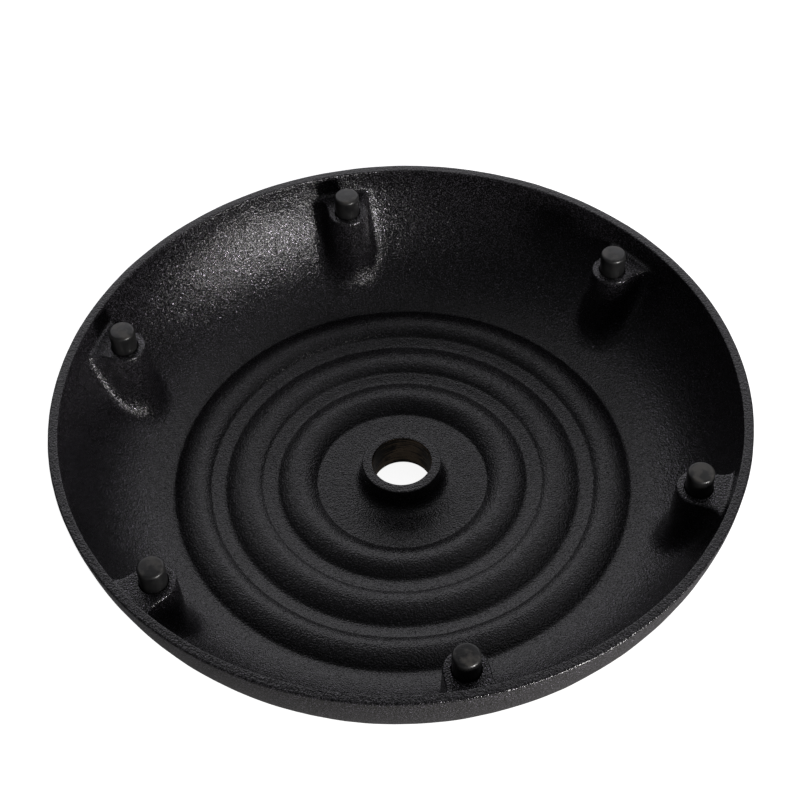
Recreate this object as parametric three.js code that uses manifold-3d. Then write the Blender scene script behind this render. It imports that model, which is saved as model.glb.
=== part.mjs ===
// Round cast-iron stand base with six rubber feet, lying on its crown with its
// open underside up. Millimetres, +Z up. The origin is on the axis of the
// centre bore, in the plane of the crown's flat face that the base lies on.

import * as THREE from 'three';
import { mergeVertices } from 'three/addons/utils/BufferGeometryUtils.js';
import Module from 'manifold-3d';

const wasm = await Module();
wasm.setup();

// ---- Driving dimensions ----------------------------------------------------

const WALL = 6.4; // casting thickness, the same almost everywhere
const RIM_HEIGHT = 90.5; // flat land of the rim, which faces up here
const RIM_ROUND = 0.8; // broken edges of the rim land

// The outer wall is a quarter of an ellipse, widest a little above the rim.
const OVOLO_CENTRE_RADIUS = 142;
const OVOLO_CENTRE_HEIGHT = 100.7;
const OVOLO_HALF_WIDTH = 83.8;
const OVOLO_HALF_HEIGHT = 98.8;

// Centre pad, with the hub that the post passes through.
const PAD_RADIUS = 57.3;
const HUB_RADIUS = 26.5;
const HUB_HEIGHT = 25.8;
const HUB_FILLET = 7.0;
const BORE_RADIUS = 19.7;
const BORE_CHAMFER = 0.8;

// Three rounded ridges ring the pad, with narrow lands between them. Each ridge
// is given by its inner foot, its crest and its outer foot, as radius and height.
// The last one ends on the wall.
const RIDGES = [
  { inner: [PAD_RADIUS, WALL], crest: [71.6, 13.6], outer: [84.6, 8.5] },
  { inner: [94.2, 10.1], crest: [103.9, 13.4], outer: [119.8, 7.9] },
  { inner: [129.0, 10.0], crest: [139.3, 14.7], outer: [154.2, null] },
];

// Six bosses stand against the wall, each with a blind socket for a foot.
const FOOT_COUNT = 6;
const FIRST_FOOT_ANGLE = THREE.MathUtils.degToRad(39.7);
const FOOT_CIRCLE_RADIUS = 196.7;
const BOSS_TOP_HEIGHT = 75.5;
const BOSS_NOSE_RADIUS = 14;
const BOSS_FLARE_RADIUS = 9; // concave corner between a boss and the wall
const BOSS_ROOT_REACH = 19; // from the foot's axis out to the wall, at the boss's top
const BOSS_DRAFT = THREE.MathUtils.degToRad(3);
const SOCKET_RADIUS = 9.1;
const SOCKET_FLOOR = 61.5;

const FOOT_RADIUS = 8.7;
const FOOT_TOP_HEIGHT = 91.1; // just proud of the rim
const FOOT_EDGE_ROUND = 2.2;
const FOOT_GAP = 0.4; // under the foot, at the floor of its socket

// ---- Fineness of the curves --------------------------------------------------

const CASTING_SEGMENTS = 48;
const FOOT_SEGMENTS = 24;
const FLANK_STEPS = 3;
const OVOLO_STEPS = 8;
const FILLET_STEPS = 3;
const BOSS_CURVE_STEPS = 8;

// ---- Materials ---------------------------------------------------------------

const castIron = new THREE.MeshStandardMaterial({ color: 0x2c2b2e, roughness: 0.5, metalness: 0.3 });
const rubber = new THREE.MeshStandardMaterial({ color: 0x3a3b3c, roughness: 0.45, metalness: 0 });

// ---- Solids ------------------------------------------------------------------

// A closed three.js geometry as a manifold solid.
function toSolid(geometry) {
  const bare = geometry.clone();
  bare.deleteAttribute('normal');
  bare.deleteAttribute('uv');
  const merged = mergeVertices(bare, 1e-4);
  return new wasm.Manifold(new wasm.Mesh({
    numProp: 3,
    vertProperties: new Float32Array(merged.attributes.position.array),
    triVerts: new Uint32Array(merged.index.array),
  }));
}

// A manifold solid as a flat-shaded three.js geometry.
function toGeometry(solid) {
  const mesh = solid.getMesh();
  const geometry = new THREE.BufferGeometry();
  geometry.setAttribute('position', new THREE.BufferAttribute(mesh.vertProperties, 3));
  geometry.setIndex(new THREE.BufferAttribute(mesh.triVerts, 1));
  geometry.computeVertexNormals();
  return geometry;
}

// Turns a profile of (radius, height) points about the Z axis. A profile runs
// up the outside and down the inside, so that its faces point out.
function revolve(profile, segments) {
  const geometry = new THREE.LatheGeometry(profile, segments);
  geometry.rotateX(Math.PI / 2);
  return geometry;
}

// Points along an elliptical arc about a centre, from angle a0 to angle a1.
function arc(radius, height, halfWidth, halfHeight, a0, a1, steps) {
  const points = [];
  for (let i = 0; i <= steps; i += 1) {
    const angle = a0 + ((a1 - a0) * i) / steps;
    const r = radius + halfWidth * Math.cos(angle);
    const z = height + halfHeight * Math.sin(angle);
    points.push(new THREE.Vector2(r, z));
  }
  return points;
}

// Points down the side of a ridge, from its level crest to its steepest at the foot.
function flank(crest, foot, steps) {
  const points = [];
  for (let i = 0; i <= steps; i += 1) {
    const t = i / steps;
    const x = crest[0] + (foot[0] - crest[0]) * t;
    const y = crest[1] + (foot[1] - crest[1]) * t * t;
    points.push(new THREE.Vector2(x, y));
  }
  return points;
}

// ---- Casting -------------------------------------------------------------------

const outermostRidge = RIDGES[RIDGES.length - 1];

// The wall's curve from the outermost ridge up to the rim, inset from the
// outer surface by the given depth.
function wallCurve(inset) {
  const halfWidth = OVOLO_HALF_WIDTH - inset;
  const halfHeight = OVOLO_HALF_HEIGHT - inset;
  const foot = -Math.acos((outermostRidge.outer[0] - OVOLO_CENTRE_RADIUS) / halfWidth);
  const top = Math.asin((RIM_HEIGHT - RIM_ROUND - OVOLO_CENTRE_HEIGHT) / halfHeight);
  return arc(OVOLO_CENTRE_RADIUS, OVOLO_CENTRE_HEIGHT, halfWidth, halfHeight, foot, top, OVOLO_STEPS);
}

// The ridges and lands from the pad's edge out to the wall. The open side's
// surface has depth 0, and the crown's surface runs one wall thickness below.
function ringCurve(depth) {
  const wallFootHeight = wallCurve(WALL)[0].y;
  const points = [];
  for (const { inner, crest, outer } of RIDGES) {
    const foot = [outer[0], outer[1] ?? wallFootHeight];
    points.push(...flank(crest, inner, FLANK_STEPS).reverse());
    points.push(...flank(crest, foot, FLANK_STEPS).slice(1));
  }
  for (const point of points) {
    point.y -= depth;
  }
  return points;
}

// The round shell with its hub and bore. The last ring point is the first wall point.
function makeShell() {
  const outerWall = wallCurve(0);
  const innerWall = wallCurve(WALL);
  const rimOuterRadius = outerWall[OVOLO_STEPS].x;
  const rimInnerRadius = innerWall[OVOLO_STEPS].x;
  const hubFillet = arc(
    HUB_RADIUS + HUB_FILLET,
    WALL + HUB_FILLET,
    HUB_FILLET,
    HUB_FILLET,
    -Math.PI / 2,
    -Math.PI,
    FILLET_STEPS,
  );
  const profile = [
    new THREE.Vector2(BORE_RADIUS, BORE_CHAMFER),
    new THREE.Vector2(BORE_RADIUS + BORE_CHAMFER, 0),
    ...ringCurve(WALL).slice(0, -1),
    ...outerWall,
    new THREE.Vector2(rimOuterRadius - RIM_ROUND, RIM_HEIGHT),
    new THREE.Vector2(rimInnerRadius + RIM_ROUND, RIM_HEIGHT),
    ...innerWall.reverse(),
    ...ringCurve(0).slice(0, -1).reverse(),
    ...hubFillet,
    new THREE.Vector2(HUB_RADIUS, HUB_HEIGHT - BORE_CHAMFER),
    new THREE.Vector2(HUB_RADIUS - BORE_CHAMFER, HUB_HEIGHT),
    new THREE.Vector2(BORE_RADIUS + BORE_CHAMFER, HUB_HEIGHT),
    new THREE.Vector2(BORE_RADIUS, HUB_HEIGHT - BORE_CHAMFER),
    new THREE.Vector2(BORE_RADIUS, BORE_CHAMFER),
  ];
  return toSolid(revolve(profile, CASTING_SEGMENTS));
}

// Everything inside the middle of the wall's thickness. A boss is trimmed to it,
// so that its foot ends within the metal of the wall.
function makeBossLimit() {
  const middle = wallCurve(WALL / 2);
  const profile = [
    new THREE.Vector2(0, middle[0].y),
    ...middle,
    new THREE.Vector2(0, middle[OVOLO_STEPS].y),
  ];
  return toSolid(revolve(profile, CASTING_SEGMENTS));
}

// A boss about the Z axis, its round nose towards -X and its flared root
// towards the wall at +X. It widens downwards by the casting draft.
function makeBossGeometry() {
  const flareStart = BOSS_ROOT_REACH - BOSS_FLARE_RADIUS;
  const flareSide = BOSS_NOSE_RADIUS + BOSS_FLARE_RADIUS;
  const rootEnd = BOSS_ROOT_REACH + WALL;
  const outline = new THREE.Shape();
  outline.absarc(0, 0, BOSS_NOSE_RADIUS, Math.PI / 2, (3 * Math.PI) / 2, false);
  outline.absarc(flareStart, -flareSide, BOSS_FLARE_RADIUS, Math.PI / 2, 0, true);
  outline.lineTo(rootEnd, -flareSide);
  outline.lineTo(rootEnd, flareSide);
  outline.absarc(flareStart, flareSide, BOSS_FLARE_RADIUS, 0, -Math.PI / 2, true);
  outline.closePath();

  const geometry = new THREE.ExtrudeGeometry(outline, {
    depth: BOSS_TOP_HEIGHT,
    bevelEnabled: false,
    curveSegments: BOSS_CURVE_STEPS,
  });
  const position = geometry.attributes.position;
  for (let i = 0; i < position.count; i += 1) {
    const depth = BOSS_TOP_HEIGHT - position.getZ(i);
    const widening = 1 + (depth * Math.tan(BOSS_DRAFT)) / BOSS_NOSE_RADIUS;
    position.setXY(i, position.getX(i) * widening, position.getY(i) * widening);
  }
  return geometry;
}

// A straight round bar about the Z axis between two heights.
function makeBar(radius, bottom, top, segments) {
  const bar = new THREE.CylinderGeometry(radius, radius, top - bottom, segments);
  bar.rotateX(Math.PI / 2);
  bar.translate(0, 0, (top + bottom) / 2);
  return bar;
}

// Moves a geometry made about the Z axis to the place of one of the feet.
function toFootPlace(geometry, index) {
  const placed = geometry.clone();
  placed.translate(FOOT_CIRCLE_RADIUS, 0, 0);
  placed.rotateZ(footAngle(index));
  return placed;
}

function footAngle(index) {
  return FIRST_FOOT_ANGLE + (index * 2 * Math.PI) / FOOT_COUNT;
}

function makeCasting() {
  const bossLimit = makeBossLimit();
  const boss = makeBossGeometry();
  const socket = makeBar(SOCKET_RADIUS, SOCKET_FLOOR, RIM_HEIGHT, FOOT_SEGMENTS);
  let casting = makeShell();
  for (let i = 0; i < FOOT_COUNT; i += 1) {
    casting = casting.add(toSolid(toFootPlace(boss, i)).intersect(bossLimit));
    casting = casting.subtract(toSolid(toFootPlace(socket, i)));
  }
  return casting;
}

// ---- Feet ------------------------------------------------------------------------

// A rubber plug about the Z axis, from its seat in the socket to its rounded top.
function makeFootGeometry() {
  const bottom = SOCKET_FLOOR + FOOT_GAP;
  const profile = [
    new THREE.Vector2(0, bottom),
    new THREE.Vector2(FOOT_RADIUS, bottom),
    ...arc(
      FOOT_RADIUS - FOOT_EDGE_ROUND,
      FOOT_TOP_HEIGHT - FOOT_EDGE_ROUND,
      FOOT_EDGE_ROUND,
      FOOT_EDGE_ROUND,
      0,
      Math.PI / 2,
      FILLET_STEPS,
    ),
    new THREE.Vector2(0, FOOT_TOP_HEIGHT),
  ];
  return toGeometry(toSolid(revolve(profile, FOOT_SEGMENTS)));
}

// ---- Assembly ----------------------------------------------------------------------

const base = new THREE.Group();

const casting = new THREE.Mesh(toGeometry(makeCasting()), castIron);
casting.name = 'base_casting';
base.add(casting);

const footGeometry = makeFootGeometry();
for (let i = 0; i < FOOT_COUNT; i += 1) {
  const foot = new THREE.Mesh(footGeometry, rubber.clone());
  foot.name = `rubber_foot_${i + 1}`;
  foot.position.set(
    FOOT_CIRCLE_RADIUS * Math.cos(footAngle(i)),
    FOOT_CIRCLE_RADIUS * Math.sin(footAngle(i)),
    0,
  );
  foot.rotation.z = footAngle(i);
  base.add(foot);
}

export default base;
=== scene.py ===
"""Looks of a round cast-iron stand base with six rubber feet, open underside up."""

import math

import bmesh
import bpy
import numpy as np
from mathutils import Matrix, Vector, noise


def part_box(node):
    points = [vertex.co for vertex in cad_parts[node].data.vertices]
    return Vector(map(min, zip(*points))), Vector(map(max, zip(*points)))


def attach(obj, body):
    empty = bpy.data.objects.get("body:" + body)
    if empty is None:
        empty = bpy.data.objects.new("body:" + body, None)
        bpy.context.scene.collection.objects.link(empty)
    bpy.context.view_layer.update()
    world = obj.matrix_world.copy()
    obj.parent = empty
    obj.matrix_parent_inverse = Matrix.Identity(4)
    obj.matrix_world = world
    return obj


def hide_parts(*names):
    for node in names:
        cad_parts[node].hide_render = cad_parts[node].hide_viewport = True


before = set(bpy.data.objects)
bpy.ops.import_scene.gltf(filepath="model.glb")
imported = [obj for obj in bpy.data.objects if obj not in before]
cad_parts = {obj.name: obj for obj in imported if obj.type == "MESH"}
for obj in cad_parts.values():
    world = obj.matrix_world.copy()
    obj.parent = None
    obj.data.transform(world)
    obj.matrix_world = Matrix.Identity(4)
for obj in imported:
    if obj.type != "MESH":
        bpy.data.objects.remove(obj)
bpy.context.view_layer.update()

# ---- Sizes, in millimetres -----------------------------------------------------------

MM = 0.001
FEET = [f"rubber_foot_{i}" for i in range(1, 7)]

casting_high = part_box("base_casting")[1]
RIM_HEIGHT = casting_high.z / MM

WALL = 6.4
OVOLO_CENTRE = (142.0, 100.7)
OVOLO_HALF_SIZES = (83.8, 98.8)
RIM_ROUND = 0.9
RIM_OUTER_ROUND = 1.1
RIM_LEAN = 0.05

PAD_RADIUS = 57.3
HUB_RADIUS = 26.5
HUB_HEIGHT = 25.8
HUB_FILLET = 7.0
BORE_RADIUS = 19.7
TURNED_ROUND = 0.8

# Each ridge runs from its inner foot over its crest to its outer foot, as (radius, height).
# The last one ends on the wall.
RIDGES = [
    ((PAD_RADIUS, WALL), (71.6, 13.6), (84.6, 8.5)),
    ((94.2, 10.1), (103.9, 13.4), (119.8, 7.9)),
    ((129.0, 10.0), (139.3, 14.7), (154.2, None)),
]
RIDGE_INNER_POWER = 2.0
RIDGE_OUTER_POWER = 2.0
LAND_POWER = 1.7
CREASE_SOFTNESS = 0.8
CREASE_DEPTH = 0.45
CREASE_WIDTH = 1.1

# How far the points of a straight stretch keep from the rounded corner beside it.
RIM_OUTER_CLEAR = 2.4
RIM_INNER_CLEAR = 1.8
PAD_CLEAR = 0.6
FILLET_FOOT_CLEAR = 1.0
FILLET_TOP_CLEAR = 0.8
TURNED_CLEAR = 1.6
SOCKET_CLEAR = 1.2

BOSS_TOP_HEIGHT = 75.5
BOSS_NOSE_RADIUS = 14.0
BOSS_DRAFT = math.radians(3.0)
BOSS_FLARE_RADIUS = 11.0
BOSS_EDGE_ROUND = 1.4
BOSS_TOP_FILLET = 2.5
SOCKET_RADIUS = 9.1
SOCKET_FLOOR = 61.5
SOCKET_ROUND = 0.4

FOOT_EDGE_ROUND = 1.9
FOOT_BASE_ROUND = 0.8
FOOT_CROWN = 0.35
FOOT_INSET = 0.02
FOOT_DENT = 0.10
FOOT_DENT_REACH = 3.0
FOOT_SHRINK = 0.006
FOOT_WAVELENGTH = 5.0
FOOT_DUST_START = 1.2
FOOT_DUST_FULL = 0.3

# The waviness of the sand casting, as (wavelength, height).
CASTING_WAVES = [(24.0, 0.16), (9.0, 0.10), (4.0, 0.05)]
CASTING_INSET = 0.05
MACHINED_MARGIN = 1.0
BARE_MARGIN = 0.5
BARE_FADE = 0.35
OUTSIDE_RADIUS = 120
OUTSIDE_TILT = 0.05

# How sharply a surface bends, per millimetre, where each mask starts and is full.
CASTING_EDGE_BENDS = (0.12, 0.55)
CASTING_HOLLOW_BENDS = (0.015, 0.16)
FOOT_EDGE_BENDS = (0.1, 0.5)

# ---- Fineness ------------------------------------------------------------------------

COLUMNS = 324
CROWN_STEP = 5.6
RING_STEP = 2.1
CREASE_REACH = 3.0
CREASE_CROWDING = 1.6
OUTER_WALL_STEPS = 18
INNER_WALL_STEPS = 37
PATCH_COLUMNS = 20
PATCH_ROWS = 30
PATCH_LOOPS = 50
PATCH_TOP_HEIGHT = 84.0
WALL_LEAST_HEIGHT = 12
WALL_LEAST_RADIUS = 150
FOOT_COLUMNS = 96

# How the patch around each boss settles onto the surface.
SLOPE_STEP = 0.02
LEAST_STEEPNESS = 0.05
LONGEST_MOVE = 4.0
RELAX_ROUNDS = 160
RELAX_KEEP = 0.3
RELAX_PULL = 0.7
BEND_WEIGHT = 5


# ---- Curves --------------------------------------------------------------------------


def arc(centre, half_sizes, start, end, steps):
    """Points on an elliptical arc, as (radius, height), from one angle to another."""
    angles = np.linspace(start, end, steps + 1)
    radius = centre[0] + half_sizes[0] * np.cos(angles)
    height = centre[1] + half_sizes[1] * np.sin(angles)
    return np.column_stack([radius, height])


def straight(start, end, steps):
    """Evenly spaced points from start up to, but not including, end."""
    t = np.linspace(0.0, 1.0, steps, endpoint=False)[:, None]
    return np.asarray(start) * (1 - t) + np.asarray(end) * t


def corner(before, tip, after, radius, steps=4):
    """The arc that rounds the corner at tip between the points before and after."""
    a = np.subtract(before, tip)
    b = np.subtract(after, tip)
    a = a / np.linalg.norm(a)
    b = b / np.linalg.norm(b)
    half_angle = math.acos(np.clip(a @ b, -1.0, 1.0)) / 2
    centre = np.asarray(tip) + (a + b) / np.linalg.norm(a + b) * radius / math.sin(half_angle)
    reach = radius / math.tan(half_angle)
    first = np.asarray(tip) + a * reach - centre
    last = np.asarray(tip) + b * reach - centre
    t = np.linspace(0.0, 1.0, steps + 1)[:, None]
    spokes = first * (1 - t) + last * t
    return centre + spokes / np.linalg.norm(spokes, axis=1)[:, None] * radius


def wall_ellipse(inset):
    return np.asarray(OVOLO_HALF_SIZES) - inset


def wall_height(radius, inset):
    """Height of the wall's curve at a radius, inset from the outer surface."""
    half = wall_ellipse(inset)
    x = (radius - OVOLO_CENTRE[0]) / half[0]
    return OVOLO_CENTRE[1] - half[1] * np.sqrt(1 - np.minimum(x * x, 1))


def ring_height(radius):
    """Height of the open side's surface over the ridges and the lands between them."""
    height = wall_height(radius, WALL)
    for i, (inner, crest, outer) in enumerate(RIDGES):
        outer_height = outer[1] or wall_height(outer[0], WALL)
        climb = np.clip((crest[0] - radius) / (crest[0] - inner[0]), 0, 1)
        fall = np.clip((radius - crest[0]) / (outer[0] - crest[0]), 0, 1)
        ridge = crest[1] - (crest[1] - inner[1]) * climb**RIDGE_INNER_POWER
        ridge -= (crest[1] - outer_height) * fall**RIDGE_OUTER_POWER
        height = np.where((radius >= inner[0]) & (radius <= outer[0]), ridge, height)
        if i < len(RIDGES) - 1:
            start, end = outer, RIDGES[i + 1][0]
            t = np.clip((radius - start[0]) / (end[0] - start[0]), 0, 1)
            land = start[1] + (end[1] - start[1]) * t**LAND_POWER
            height = np.where((radius > start[0]) & (radius < end[0]), land, height)
    return height


def ring_curve(depth, step):
    """The ridges from the pad's edge to the wall, with softened creases, at a depth
    below the open side's surface."""
    margin = 5.0
    fine_step = 0.1
    end = RIDGES[-1][2][0] + margin
    fine = np.arange(PAD_RADIUS, end + 2 * margin, fine_step)
    height = ring_height(fine)
    reach = int(4 * CREASE_SOFTNESS / fine_step)
    offsets = np.arange(-reach, reach + 1) * fine_step
    weights = np.exp(-0.5 * (offsets / CREASE_SOFTNESS) ** 2)
    padded = np.pad(height, reach, mode="edge")
    soft = np.convolve(padded, weights / weights.sum(), mode="valid")
    # A fine crease runs around the foot of each ridge.
    for inner, _, _ in RIDGES[1:]:
        soft -= CREASE_DEPTH * np.exp(-(((fine - inner[0]) / CREASE_WIDTH) ** 2))
    # The foot of the first ridge stays crisp against the pad.
    blend = np.clip((fine - PAD_RADIUS) / (3 * CREASE_SOFTNESS), 0, 1)
    soft = height * (1 - blend) + soft * blend
    # Rows lie closer together where the surface bends.
    creases = [r for inner, _, outer in RIDGES for r in (inner[0], outer[0])]
    near = sum(np.exp(-(((fine - r) / CREASE_REACH) ** 2)) for r in creases)
    inside = fine <= end
    density = (1 + CREASE_CROWDING * near[inside]) / step
    shares = (density[1:] + density[:-1]) / 2 * fine_step
    travelled = np.concatenate([[0], np.cumsum(shares)])
    count = int(round(travelled[-1]))
    radius = np.interp(np.linspace(0, travelled[-1], count + 1), travelled, fine[inside])
    return np.column_stack([radius, np.interp(radius, fine, soft) - depth])


# ---- Profile of the casting ----------------------------------------------------------


def wall_from(radius, inset, steps):
    """The wall from a radius up to the rim's rounded edge, without its last point."""
    half = wall_ellipse(inset)
    foot = -math.acos((radius - OVOLO_CENTRE[0]) / half[0])
    top = math.asin((RIM_HEIGHT - RIM_ROUND - OVOLO_CENTRE[1]) / half[1])
    return arc(OVOLO_CENTRE, half, foot, top, steps)


def casting_profile():
    """The closed outline that is turned about the Z axis.

    It runs out along the crown, up the outer wall, over the rim, down the inner
    wall, in over the ridges, up the hub and down the bore."""
    crown = ring_curve(WALL, CROWN_STEP)
    rings = ring_curve(0.0, RING_STEP)
    outer = wall_from(crown[-1, 0], 0.0, OUTER_WALL_STEPS)
    inner = wall_from(rings[-1, 0], WALL, INNER_WALL_STEPS)
    rim_out = outer[-1, 0]
    rim_in = inner[-1, 0]
    rim_corner_out = (rim_out + RIM_LEAN, RIM_HEIGHT)
    rim_corner_in = (rim_in + RIM_LEAN, RIM_HEIGHT)
    rim_flat_start = (rim_out - RIM_OUTER_CLEAR, RIM_HEIGHT)
    rim_flat_end = (rim_in + RIM_INNER_CLEAR, RIM_HEIGHT)
    bore_top = (BORE_RADIUS, HUB_HEIGHT)
    bore_bottom = (BORE_RADIUS, 0.0)
    hub_edge = (HUB_RADIUS, HUB_HEIGHT)
    hub_foot = (HUB_RADIUS, WALL)
    pad_edge = (PAD_RADIUS, WALL)
    near_bore = BORE_RADIUS + TURNED_CLEAR
    near_hub_side = HUB_RADIUS - TURNED_CLEAR
    near_hub_top = HUB_HEIGHT - TURNED_CLEAR
    fillet_foot = (HUB_RADIUS + HUB_FILLET + FILLET_FOOT_CLEAR, WALL)
    fillet_top = (HUB_RADIUS, WALL + HUB_FILLET + FILLET_TOP_CLEAR)
    pieces = [
        straight((near_bore, 0.0), (PAD_RADIUS, 0.0), 6),
        crown[:-1],
        outer[:-1],
        corner(outer[-3], rim_corner_out, rim_corner_in, RIM_OUTER_ROUND),
        straight(rim_flat_start, rim_flat_end, 3),
        corner(rim_corner_out, rim_corner_in, inner[-3], RIM_ROUND),
        inner[::-1][1:],
        rings[::-1][1:],
        straight((PAD_RADIUS - PAD_CLEAR, WALL), fillet_foot, 5),
        corner(pad_edge, hub_foot, hub_edge, HUB_FILLET),
        straight(fillet_top, (HUB_RADIUS, near_hub_top), 4),
        corner(hub_foot, hub_edge, bore_top, TURNED_ROUND),
        straight((near_hub_side, HUB_HEIGHT), (near_bore, HUB_HEIGHT), 3),
        corner(hub_edge, bore_top, bore_bottom, TURNED_ROUND),
        straight((BORE_RADIUS, near_hub_top), (BORE_RADIUS, TURNED_CLEAR), 6),
        corner(bore_top, bore_bottom, pad_edge, TURNED_ROUND),
    ]
    return np.concatenate(pieces)


# ---- Bosses --------------------------------------------------------------------------

foot_boxes = [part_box(name) for name in FEET]
foot_centres = [(low + high) / 2 / MM for low, high in foot_boxes]
foot_angles = [math.atan2(centre.y, centre.x) for centre in foot_centres]
FOOT_CIRCLE = math.hypot(foot_centres[0].x, foot_centres[0].y)


def filleted_union(a, b, radius):
    """Distance to the union of two solids, with a concave fillet where they meet."""
    inside = np.hypot(np.maximum(radius - a, 0), np.maximum(radius - b, 0))
    return np.maximum(radius, np.minimum(a, b)) - inside


def rounded_overlap(a, b, radius):
    """Distance to the overlap of two solids, with a convex rounding on its edge."""
    outside = np.hypot(np.maximum(radius + a, 0), np.maximum(radius + b, 0))
    return np.minimum(-radius, np.maximum(a, b)) + outside


def boss_distance(points):
    """Distance from the iron of the inner wall and one boss. The boss stands at the
    origin of x and y, and the wall lies towards +x."""
    x, y, z = points.T
    radius = np.hypot(x + FOOT_CIRCLE, y)
    half = wall_ellipse(WALL)
    u = (radius - OVOLO_CENTRE[0]) / half[0]
    v = (z - OVOLO_CENTRE[1]) / half[1]
    q = np.hypot(u, v)
    wall = (1 - q) * q / np.hypot(u / half[0], v / half[1])
    nose = BOSS_NOSE_RADIUS + (BOSS_TOP_HEIGHT - z) * math.tan(BOSS_DRAFT)
    side = np.hypot(np.minimum(x, 0), y) - nose
    pillar = filleted_union(wall + BOSS_TOP_FILLET, side, BOSS_FLARE_RADIUS + BOSS_TOP_FILLET)
    capped = rounded_overlap(pillar, z - BOSS_TOP_HEIGHT, BOSS_EDGE_ROUND)
    return filleted_union(wall, capped, BOSS_TOP_FILLET)


def slope_of(distance, points):
    """Gradient of a distance function at each point."""
    columns = []
    for axis in range(3):
        step = np.zeros(3)
        step[axis] = SLOPE_STEP
        rise = distance(points + step) - distance(points - step)
        columns.append(rise / (2 * SLOPE_STEP))
    return np.column_stack(columns)


def drop_onto(distance, points, rounds):
    """Moves points along the gradient until they lie on the surface."""
    for _ in range(rounds):
        value = distance(points)
        slope = slope_of(distance, points)
        steepness = np.maximum((slope**2).sum(1), LEAST_STEEPNESS)
        move = (value / steepness)[:, None] * slope
        length = np.linalg.norm(move, axis=1)[:, None]
        points = points - move * np.minimum(1, LONGEST_MOVE / np.maximum(length, 1e-9))
    return points


def boss_patch(border):
    """Loops of points from the edge of a boss's socket out to a border on the wall."""
    count = len(border)
    # Seen along the wall's slope, the border runs around the boss.
    down_slope = (border[:, 0] + border[:, 2] - BOSS_TOP_HEIGHT) / math.sqrt(2)
    turn = np.unwrap(np.arctan2(border[:, 1], down_slope))
    direction = np.sign(turn[-1] - turn[0])
    even = direction * 2 * math.pi * np.arange(count) / count
    angles = even + np.mean(turn - even)
    mouth = SOCKET_RADIUS + SOCKET_ROUND
    level = np.full(count, BOSS_TOP_HEIGHT)
    ring = np.column_stack([mouth * np.cos(angles), mouth * np.sin(angles), level])
    t = np.linspace(0, 1, PATCH_LOOPS + 1)[:, None, None]
    loops = ring[None] * (1 - t) + border[None] * t

    def settle(rounds):
        dropped = drop_onto(boss_distance, loops[1:-1].reshape(-1, 3), rounds)
        loops[1:-1] = dropped.reshape(PATCH_LOOPS - 1, count, 3)

    settle(12)
    for _ in range(RELAX_ROUNDS):
        normal = slope_of(boss_distance, loops.reshape(-1, 3)).reshape(loops.shape)
        normal /= np.linalg.norm(normal, axis=2)[..., None]
        pulled = np.zeros_like(loops[1:-1])
        total = np.zeros(pulled.shape[:2] + (1,))
        here = normal[1:-1]
        neighbours = [
            (loops[:-2], normal[:-2]),
            (loops[2:], normal[2:]),
            (np.roll(loops, 1, 1)[1:-1], np.roll(normal, 1, 1)[1:-1]),
            (np.roll(loops, -1, 1)[1:-1], np.roll(normal, -1, 1)[1:-1]),
        ]
        for place, tilt in neighbours:
            weight = 1 + BEND_WEIGHT * np.linalg.norm(tilt - here, axis=2)[..., None]
            pulled += weight * place
            total += weight
        loops[1:-1] = RELAX_KEEP * loops[1:-1] + RELAX_PULL * pulled / total
        settle(1)
    settle(4)
    return loops


def socket_loops(mouth_loop):
    """Loops from the rounded mouth of a socket down its wall to its floor's middle."""
    direction = mouth_loop[:, :2] / np.linalg.norm(mouth_loop[:, :2], axis=1)[:, None]
    loops = []
    boss_side = (BOSS_NOSE_RADIUS, BOSS_TOP_HEIGHT)
    mouth = (SOCKET_RADIUS, BOSS_TOP_HEIGHT)
    bottom = (SOCKET_RADIUS, SOCKET_FLOOR)
    rim = corner(boss_side, mouth, bottom, SOCKET_ROUND, 3)
    wall = straight((SOCKET_RADIUS, BOSS_TOP_HEIGHT - SOCKET_CLEAR), bottom, 2)
    floor = [bottom, (SOCKET_RADIUS / 2, SOCKET_FLOOR)]
    for radius, height in np.concatenate([rim[1:], wall, floor]):
        loops.append(np.column_stack([direction * radius, np.full(len(direction), height)]))
    return loops


# ---- Casting mesh --------------------------------------------------------------------


def new_object(name, vertices, faces):
    """A smooth-shaded mesh object from points in millimetres, with faces turned out."""
    mesh = bpy.data.meshes.new(name)
    mesh.from_pydata((np.asarray(vertices) * MM).tolist(), [], faces)
    work = bmesh.new()
    work.from_mesh(mesh)
    loose = [v for v in work.verts if not v.link_faces]
    bmesh.ops.delete(work, geom=loose, context="VERTS")
    bmesh.ops.recalc_face_normals(work, faces=work.faces)
    work.to_mesh(mesh)
    work.free()
    mesh.polygons.foreach_set("use_smooth", [True] * len(mesh.polygons))
    piece = bpy.data.objects.new(name, mesh)
    bpy.context.scene.collection.objects.link(piece)
    return piece


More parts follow.
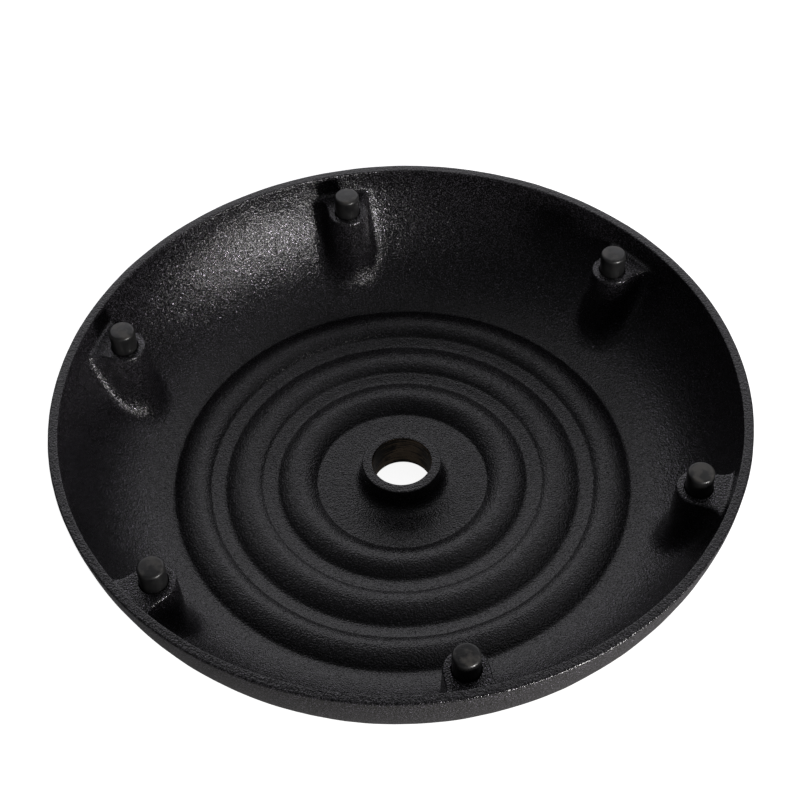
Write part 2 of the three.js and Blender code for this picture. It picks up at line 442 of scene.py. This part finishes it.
def make_casting():
    profile = casting_profile()
    rows = len(profile)
    step = 2 * math.pi / COLUMNS
    sector = COLUMNS // len(FEET)
    start_angle = foot_angles[0] - PATCH_COLUMNS / 2 * step
    angles = start_angle + step * np.arange(COLUMNS)
    grid = np.empty((rows, COLUMNS, 3))
    grid[..., 0] = profile[:, :1] * np.cos(angles)
    grid[..., 1] = profile[:, :1] * np.sin(angles)
    grid[..., 2] = profile[:, 1:]

    # The patch rows run down the inner wall from just below the rim.
    radius, height = profile.T
    past_rim = np.arange(rows) > np.argmax(height)
    on_wall = past_rim & (height > WALL_LEAST_HEIGHT) & (radius > WALL_LEAST_RADIUS)
    below_rim = on_wall & (height < PATCH_TOP_HEIGHT)
    first_row = int(np.argmax(below_rim))
    last_row = first_row + PATCH_ROWS

    vertices = grid.reshape(-1, 3)
    faces = []
    for i in range(rows):
        below = (i + 1) % rows
        for j in range(COLUMNS):
            if first_row <= i < last_row and j % sector < PATCH_COLUMNS:
                continue
            after = (j + 1) % COLUMNS
            here, there = i * COLUMNS, below * COLUMNS
            faces.append((here + j, here + after, there + after, there + j))

    border = [(first_row, j) for j in range(PATCH_COLUMNS)]
    border += [(i, PATCH_COLUMNS) for i in range(first_row, last_row)]
    border += [(last_row, j) for j in range(PATCH_COLUMNS, 0, -1)]
    border += [(i, 0) for i in range(last_row, first_row, -1)]
    count = len(border)

    def turned(points, angle):
        c, s = math.cos(angle), math.sin(angle)
        x, y, z = np.asarray(points).reshape(-1, 3).T
        return np.column_stack([x * c - y * s, x * s + y * c, z])

    border_points = np.array([grid[i, j] for i, j in border])
    local_border = turned(border_points, -foot_angles[0]) - [FOOT_CIRCLE, 0, 0]
    loops = boss_patch(local_border)
    inward = list(loops[::-1][1:]) + socket_loops(loops[0])
    local = np.concatenate(inward + [[[0, 0, SOCKET_FLOOR]]]) + [FOOT_CIRCLE, 0, 0]

    for k in range(len(FEET)):
        base = len(vertices)
        patch = turned(local, foot_angles[0] + k * sector * step)
        vertices = np.concatenate([vertices, patch])
        outer = [i * COLUMNS + (j + k * sector) % COLUMNS for i, j in border]
        for ring in range(len(inward)):
            inner = [base + ring * count + m for m in range(count)]
            for m in range(count):
                n = (m + 1) % count
                faces.append((outer[m], outer[n], inner[n], inner[m]))
            outer = inner
        centre = base + len(local) - 1
        for m in range(count):
            faces.append((outer[m], outer[(m + 1) % count], centre))
    return new_object("cast_shell", vertices, faces)


def roughened(points, normals, limit):
    """Adds the slight waviness of a sand casting, staying inside the casting's own size."""
    points = np.asarray(points).copy()
    shift = Vector((3.1, 7.7, 1.9))
    for wavelength, height in CASTING_WAVES:
        offsets = [noise.noise(Vector(p / wavelength) + shift) for p in points]
        points += normals * (height * np.array(offsets))[:, None]
    radius = np.hypot(points[:, 0], points[:, 1])
    points[:, :2] *= np.minimum(1, limit / np.maximum(radius, 1e-6))[:, None]
    points[:, 2] = np.maximum(points[:, 2], 0.0)
    return points


def vertex_arrays(mesh):
    count = len(mesh.vertices)
    places = np.empty(count * 3)
    mesh.vertices.foreach_get("co", places)
    normals = np.empty(count * 3)
    mesh.vertices.foreach_get("normal", normals)
    return places.reshape(-1, 3) / MM, normals.reshape(-1, 3)


def bend_of(mesh, places, normals):
    """How sharply the surface turns at each vertex, per millimetre: positive on a convex
    edge and negative in a hollow."""
    ends = np.empty(len(mesh.edges) * 2, dtype=int)
    mesh.edges.foreach_get("vertices", ends)
    total = np.zeros(len(places))
    weight = np.zeros(len(places))
    pairs = np.concatenate([ends.reshape(-1, 2), ends.reshape(-1, 2)[:, ::-1]])
    span = places[pairs[:, 1]] - places[pairs[:, 0]]
    square = np.maximum((span**2).sum(1), 0.01)
    turn = -2 * (span * normals[pairs[:, 0]]).sum(1) / square
    np.add.at(total, pairs[:, 0], turn)
    np.add.at(weight, pairs[:, 0], 1)
    return total / np.maximum(weight, 1)


def smooth_step(value, low, high):
    t = np.clip((value - low) / (high - low), 0, 1)
    return t * t * (3 - 2 * t)


def add_mask(mesh, name, values):
    mask = mesh.attributes.new(name, "FLOAT", "POINT")
    mask.data.foreach_set("value", np.asarray(values, dtype=np.float32))


def finish_casting(piece):
    mesh = piece.data
    places, normals = vertex_arrays(mesh)
    bend = bend_of(mesh, places, normals)
    radius = np.hypot(places[:, 0], places[:, 1])
    outward = (normals[:, :2] * places[:, :2]).sum(1) / np.maximum(radius, 1e-6)
    add_mask(mesh, "edge", smooth_step(bend, *CASTING_EDGE_BENDS))
    add_mask(mesh, "hollow", smooth_step(-bend, *CASTING_HOLLOW_BENDS))
    add_mask(mesh, "bare", smooth_step(BORE_RADIUS + BARE_MARGIN - radius, 0.0, BARE_FADE))
    outside = (radius > OUTSIDE_RADIUS) & (outward > 0) & (normals[:, 2] < OUTSIDE_TILT)
    add_mask(mesh, "outside", outside)
    limit = casting_high.x / MM - CASTING_INSET
    machined = radius < BORE_RADIUS + MACHINED_MARGIN
    rough = roughened(places, normals, limit)
    rough[machined] = places[machined]
    mesh.vertices.foreach_set("co", (rough * MM).ravel())
    mesh.update()


# ---- Feet ----------------------------------------------------------------------------


def make_foot(name, box, seed):
    """A moulded rubber plug with a softly crowned, rounded top."""
    low, high = box[0] / MM, box[1] / MM
    centre = (low + high) / 2
    radius = (high.x - low.x) / 2 - FOOT_INSET
    top = high.z - FOOT_INSET
    top_middle, base_middle = (0.0, top), (0.0, low.z)
    side_top, side_base = (radius, top - FOOT_CROWN), (radius, low.z)
    crown_end = (radius - FOOT_EDGE_ROUND - 0.6, top - FOOT_CROWN * 0.62)
    profile = [
        straight(top_middle, crown_end, 8)[1:],
        corner(top_middle, side_top, side_base, FOOT_EDGE_ROUND, 9),
        straight((radius, top - 4.0), (radius, low.z + 1.2), 10),
        corner(side_top, side_base, base_middle, FOOT_BASE_ROUND, 3),
        straight((radius - 2 * FOOT_BASE_ROUND, low.z), base_middle, 4),
    ]
    outline = np.concatenate(profile)
    # The crown is a shallow arch, not a cone.
    on_crown = outline[:, 1] > top - FOOT_CROWN
    arch = top - FOOT_CROWN * (outline[:, 0] / radius) ** 2
    outline[on_crown, 1] = np.minimum(outline[on_crown, 1], arch[on_crown])
    rows = len(outline)
    count = FOOT_COLUMNS
    turn = np.linspace(0, 2 * math.pi, count, endpoint=False)
    grid = np.empty((rows, count, 3))
    grid[..., 0] = outline[:, :1] * np.cos(turn)
    grid[..., 1] = outline[:, :1] * np.sin(turn)
    grid[..., 2] = outline[:, 1:]
    points = grid.reshape(-1, 3)
    shift = Vector((seed * 4.7, seed * 1.3, seed * 2.9))
    for p in points:
        wave = 0.5 + 0.5 * noise.noise(Vector(p / FOOT_WAVELENGTH) + shift)
        p[2] -= FOOT_DENT * wave * (p[2] > top - FOOT_DENT_REACH)
        p[:2] *= 1 - FOOT_SHRINK * wave
    points = np.concatenate([points, [[0.0, 0.0, top - FOOT_DENT / 2], [0.0, 0.0, low.z]]])
    points += [centre.x, centre.y, 0.0]
    top_index, base_index = rows * count, rows * count + 1
    faces = []
    for j in range(count):
        after = (j + 1) % count
        faces.append((top_index, j, after))
        faces.append((base_index, (rows - 1) * count + after, (rows - 1) * count + j))
        for i in range(rows - 1):
            low_row, high_row = (i + 1) * count, i * count
            faces.append((high_row + j, low_row + j, low_row + after, high_row + after))
    piece = new_object(name, points, faces)
    places, normals = vertex_arrays(piece.data)
    bend = bend_of(piece.data, places, normals)
    dusty = smooth_step(places[:, 2], top - FOOT_DUST_START, top - FOOT_DUST_FULL)
    add_mask(piece.data, "edge", smooth_step(bend, *FOOT_EDGE_BENDS))
    add_mask(piece.data, "top", dusty)
    return piece


# ---- Materials -----------------------------------------------------------------------


class Graph:
    """A node tree being built. add returns the new node, surface ends the tree, and the
    other methods return an output."""

    def __init__(self, tree):
        self.tree = tree
        tree.nodes.clear()

    def add(self, kind, inputs=None, **settings):
        made = self.tree.nodes.new("ShaderNode" + kind)
        for key, value in settings.items():
            setattr(made, key, value)
        for key, value in (inputs or {}).items():
            if isinstance(value, bpy.types.NodeSocket):
                self.tree.links.new(value, made.inputs[key])
            else:
                made.inputs[key].default_value = value
        return made

    def noise(self, place, scale, detail=2.0, roughness=0.5):
        inputs = {"Vector": place, "Scale": scale, "Detail": detail, "Roughness": roughness}
        return self.add("TexNoise", inputs).outputs["Fac"]

    def mask(self, name):
        return self.add("Attribute", attribute_name=name).outputs["Fac"]

    def span(self, value, low, high, to_low=0.0, to_high=1.0):
        inputs = {
            "Value": value,
            "From Min": low,
            "From Max": high,
            "To Min": to_low,
            "To Max": to_high,
        }
        return self.add("MapRange", inputs, interpolation_type="SMOOTHSTEP").outputs["Result"]

    def math(self, operation, a, b):
        made = self.add("Math", operation=operation, use_clamp=False)
        for socket, value in zip(made.inputs, (a, b)):
            if isinstance(value, bpy.types.NodeSocket):
                self.tree.links.new(value, socket)
            else:
                socket.default_value = value
        return made.outputs[0]

    def blend(self, factor, a, b):
        colours = [c if isinstance(c, bpy.types.NodeSocket) else (*c, 1.0) for c in (a, b)]
        inputs = {"Fac": factor, "Color1": colours[0], "Color2": colours[1]}
        return self.add("MixRGB", inputs).outputs["Color"]

    def bump(self, height, distance, strength, under=None):
        inputs = {"Height": height, "Distance": distance, "Strength": strength}
        if under is not None:
            inputs["Normal"] = under
        return self.add("Bump", inputs).outputs["Normal"]

    def surface(self, **inputs):
        named = {key.replace("_", " "): value for key, value in inputs.items()}
        shader = self.add("BsdfPrincipled", named)
        self.add("OutputMaterial", {"Surface": shader.outputs["BSDF"]})


def new_material(name):
    material = bpy.data.materials.new(name)
    material.use_nodes = True
    return material, Graph(material.node_tree)


PAINT_DARK = (0.0014, 0.0013, 0.0016)
PAINT_LIGHT = (0.0048, 0.0045, 0.0054)
PAINT_FADED = (0.0050, 0.0047, 0.0045)
PAINT_OUTSIDE = (0.0085, 0.0074, 0.0064)
HOLLOW_DUST = (0.030, 0.026, 0.022)
WORN_EDGE = (0.030, 0.029, 0.031)
FLECK = (0.21, 0.195, 0.23)
RUST_DARK = (0.010, 0.007, 0.005)
RUST_LIGHT = (0.220, 0.162, 0.108)

# In metres: the depths of the relief, and the radii over which the flecks grow from the
# ridges to the wall, and fade again on the rim.
CASTING_GRAIN_DEPTH = 0.00052
BORE_STREAK_DEPTH = 0.00010
RUBBER_GRIT_DEPTH = 0.00012
FLECKS_GROW = (0.155, 0.190)
FLECKS_FADE = (0.212, 0.217)

RUBBER_DARK = (0.007, 0.007, 0.0075)
RUBBER_LIGHT = (0.013, 0.013, 0.013)
RUBBER_DUST = (0.110, 0.101, 0.088)
RUBBER_EDGE = (0.080, 0.080, 0.082)


def make_iron():
    """Satin black paint over rough sand-cast iron, with a bare, browned bore."""
    material, g = new_material("black_iron")
    place = g.add("TexCoord").outputs["Object"]
    edge, hollow = g.mask("edge"), g.mask("hollow")
    bare, outside = g.mask("bare"), g.mask("outside")
    broad = g.noise(place, 8.0, 3.0)
    mottle = g.noise(place, 55.0, 4.0, 0.6)
    grain = g.noise(place, 900.0, 1.0, 0.5)
    sparkle = g.noise(place, 1150.0, 1.0, 0.5)
    swell = g.noise(place, 330.0, 2.0, 0.5)

    paint = g.blend(g.span(grain, 0.3, 0.7), PAINT_DARK, PAINT_LIGHT)
    faded = g.math("MULTIPLY", g.span(broad, 0.4, 0.65), 0.35)
    paint = g.blend(faded, paint, PAINT_FADED)
    paint = g.blend(g.math("MULTIPLY", outside, 0.6), paint, PAINT_OUTSIDE)
    dust = g.math("MULTIPLY", hollow, g.span(mottle, 0.35, 0.75, 0.0, 0.04))
    paint = g.blend(dust, paint, HOLLOW_DUST)
    wear = g.math("MULTIPLY", edge, g.span(grain, 0.35, 0.7, 0.0, 0.40))
    paint = g.blend(wear, paint, WORN_EDGE)

    # The grain of the casting glitters, most of all on the wall.
    flat_place = g.add("VectorMath", {0: place, 1: (1.0, 1.0, 0.0)}, operation="MULTIPLY")
    length = g.add("VectorMath", {0: flat_place.outputs["Vector"]}, operation="LENGTH")
    radius = length.outputs["Value"]
    flecks = g.span(radius, *FLECKS_GROW, 0.40, 1.0)
    flecks = g.math("SUBTRACT", flecks, g.span(radius, *FLECKS_FADE, 0.0, 0.45))
    flecks = g.math("ADD", flecks, g.math("MULTIPLY", outside, 0.5))
    glint = g.math("MULTIPLY", g.span(sparkle, 0.54, 0.70), flecks)
    paint = g.blend(g.math("MULTIPLY", glint, 0.8), paint, FLECK)

    # The bore is streaked around its axis, as a turning tool leaves it.
    stretch = g.add("Mapping", {"Vector": place, "Scale": (40.0, 40.0, 800.0)})
    rings = g.noise(stretch.outputs["Vector"], 1.0, 2.0)
    browned = g.span(g.math("ADD", mottle, rings), 0.90, 1.12)
    rust = g.blend(browned, RUST_DARK, RUST_LIGHT)
    colour = g.blend(bare, paint, rust)

    rough = g.span(grain, 0.3, 0.7, 0.19, 0.28)
    rough = g.math("SUBTRACT", rough, g.math("MULTIPLY", edge, 0.02))
    rough = g.math("ADD", rough, g.math("MULTIPLY", bare, 0.08))
    rough = g.math("ADD", rough, g.math("MULTIPLY", outside, 0.30))
    metal = g.math("MAXIMUM", glint, g.math("MULTIPLY", bare, 0.55))

    painted = g.math("SUBTRACT", 1.0, bare)
    relief = g.math("ADD", painted, g.math("MULTIPLY", outside, 1.5))
    height = g.math("ADD", grain, g.math("MULTIPLY", swell, 0.4))
    normal = g.bump(g.math("MULTIPLY", height, relief), CASTING_GRAIN_DEPTH, 1.0)
    normal = g.bump(g.math("MULTIPLY", rings, bare), BORE_STREAK_DEPTH, 0.8, normal)
    g.surface(Base_Color=colour, Roughness=rough, Metallic=metal, Normal=normal)
    return material


def make_rubber():
    """Matt moulded rubber, greyed and a little dusty on top."""
    material, g = new_material("foot_rubber")
    place = g.add("TexCoord").outputs["Object"]
    edge, top = g.mask("edge"), g.mask("top")
    mottle = g.noise(place, 160.0, 4.0, 0.6)
    blotch = g.noise(place, 130.0, 3.0)
    grit = g.noise(place, 1300.0, 2.0, 0.6)
    colour = g.blend(g.span(mottle, 0.3, 0.7), RUBBER_DARK, RUBBER_LIGHT)
    dust = g.math("MULTIPLY", top, g.span(blotch, 0.46, 0.64, 0.0, 0.50))
    colour = g.blend(dust, colour, RUBBER_DUST)
    colour = g.blend(g.math("MULTIPLY", edge, 0.18), colour, RUBBER_EDGE)
    rough = g.span(mottle, 0.25, 0.75, 0.30, 0.42)
    rough = g.math("ADD", rough, g.math("MULTIPLY", dust, 0.2))
    height = g.math("ADD", grit, g.math("MULTIPLY", mottle, 0.8))
    normal = g.bump(height, RUBBER_GRIT_DEPTH, 0.6)
    g.surface(Base_Color=colour, Roughness=rough, Normal=normal)
    return material


# ---- Pieces --------------------------------------------------------------------------

casting = make_casting()
finish_casting(casting)
casting.data.materials.append(make_iron())
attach(casting, "root")
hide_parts("base_casting")

rubber = make_rubber()
for index, name in enumerate(FEET):
    foot = make_foot(f"foot_plug_{index + 1}", foot_boxes[index], index + 1)
    foot.data.materials.append(rubber)
    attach(foot, "root")
    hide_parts(name)

# ---- Floor and light -----------------------------------------------------------------

FLOOR_SIZE = 4.0
FLOOR_DROP = 0.0005
FLOOR_GREY = 0.7

# How brightly the floor and the world shine as lights, and as the camera sees them.
FLOOR_GLOW = 0.03
FLOOR_GLOW_SEEN = 0.90
WORLD_GLOW = 0.07
WORLD_GLOW_SEEN = 1.0

# Azimuth and elevation in degrees, distance, size, radiance and colour of each softbox.
SOFTBOXES = {
    "key": (-49.5, 9.5, 1.6, (0.3, 0.3), 100.0, (1.0, 0.98, 0.96)),
    "back_panel": (88.0, 28.0, 1.8, (2.6, 1.4), 1.22, (0.97, 0.96, 1.0)),
    "back_left": (142.0, 46.0, 1.8, (0.9, 1.1), 0.35, (0.97, 0.96, 1.0)),
    "top_right": (20.0, 62.0, 1.8, (1.5, 1.3), 0.34, (0.98, 0.96, 1.0)),
}

floor_mesh = bpy.data.meshes.new("floor")
half = FLOOR_SIZE / 2
signs = [(-1, -1), (1, -1), (1, 1), (-1, 1)]
floor_corners = [(x * half, y * half, 0.0) for x, y in signs]
floor_mesh.from_pydata(floor_corners, [], [(0, 1, 2, 3)])
floor = bpy.data.objects.new("floor", floor_mesh)
floor.location.z = -FLOOR_DROP
bpy.context.scene.collection.objects.link(floor)
floor_material, g = new_material("floor_white")
direct = g.add("LightPath").outputs["Is Camera Ray"]
g.surface(
    Base_Color=(FLOOR_GREY, FLOOR_GREY, FLOOR_GREY, 1.0),
    Roughness=0.9,
    Specular_IOR_Level=0.0,
    Emission_Color=(1.0, 1.0, 1.0, 1.0),
    Emission_Strength=g.span(direct, 0.0, 1.0, FLOOR_GLOW, FLOOR_GLOW_SEEN),
)
floor_mesh.materials.append(floor_material)

# The backdrop is white to the eye, and dimmer as a source of light.
world = bpy.data.worlds.new("studio")
bpy.context.scene.world = world
world.use_nodes = True
w = Graph(world.node_tree)
seen = w.add("LightPath").outputs["Is Camera Ray"]
dim = w.add("Background", {"Color": (0.95, 0.97, 1.0, 1.0), "Strength": WORLD_GLOW})
bright = w.add("Background", {"Color": (1.0, 1.0, 1.0, 1.0), "Strength": WORLD_GLOW_SEEN})
both = w.add("MixShader", {"Fac": seen})
w.tree.links.new(dim.outputs[0], both.inputs[1])
w.tree.links.new(bright.outputs[0], both.inputs[2])
w.add("OutputWorld", {"Surface": both.outputs[0]})


def add_softbox(name, azimuth, elevation, distance, size, radiance, colour):
    """A rectangular area light of a given radiance that faces the middle of the object."""
    lamp = bpy.data.lights.new(name, "AREA")
    lamp.shape = "RECTANGLE"
    lamp.size, lamp.size_y = size
    lamp.energy = radiance * math.pi * size[0] * size[1]
    lamp.color = colour
    source = bpy.data.objects.new(name, lamp)
    a, e = math.radians(azimuth), math.radians(elevation)
    way = Vector((math.cos(e) * math.cos(a), math.cos(e) * math.sin(a), math.sin(e)))
    source.location = way * distance + Vector((0.0, 0.0, 0.05))
    source.rotation_euler = way.to_track_quat("Z", "Y").to_euler()
    bpy.context.scene.collection.objects.link(source)


for name, settings in SOFTBOXES.items():
    add_softbox(name, *settings)

bpy.context.scene.view_settings.view_transform = "Standard"

# ---- Camera --------------------------------------------------------------------------

# Angles in radians, the distance in metres and the lens in millimetres.
CAMERA_ELEVATION = 0.85705
CAMERA_ROLL = 0.03370
CAMERA_DISTANCE = 1.08227
CAMERA_LENS = 75.787
CAMERA_YAW = -0.00020
CAMERA_PITCH = -0.00101
CAMERA_CLIP_START = 0.01

aim = Vector((0.0, 0.0, RIM_HEIGHT * MM))
back = Vector((0.0, -math.cos(CAMERA_ELEVATION), math.sin(CAMERA_ELEVATION)))
right = Vector((1.0, 0.0, 0.0))
up = back.cross(right)
turn = Matrix.Rotation(CAMERA_YAW, 3, up) @ Matrix.Rotation(CAMERA_PITCH, 3, right)
back_turned, right_turned, up_turned = turn @ back, turn @ right, turn @ up
roll = Matrix.Rotation(CAMERA_ROLL, 3, -back_turned)
right_turned, up_turned = roll @ right_turned, roll @ up_turned
pose = Matrix((right_turned, up_turned, back_turned)).transposed().to_4x4()
pose.translation = aim + back * CAMERA_DISTANCE

lens = bpy.data.cameras.new("camera")
lens.lens = CAMERA_LENS
lens.clip_start = CAMERA_CLIP_START
camera = bpy.data.objects.new("camera", lens)
camera.matrix_world = pose
bpy.context.scene.collection.objects.link(camera)
bpy.context.scene.camera = camera
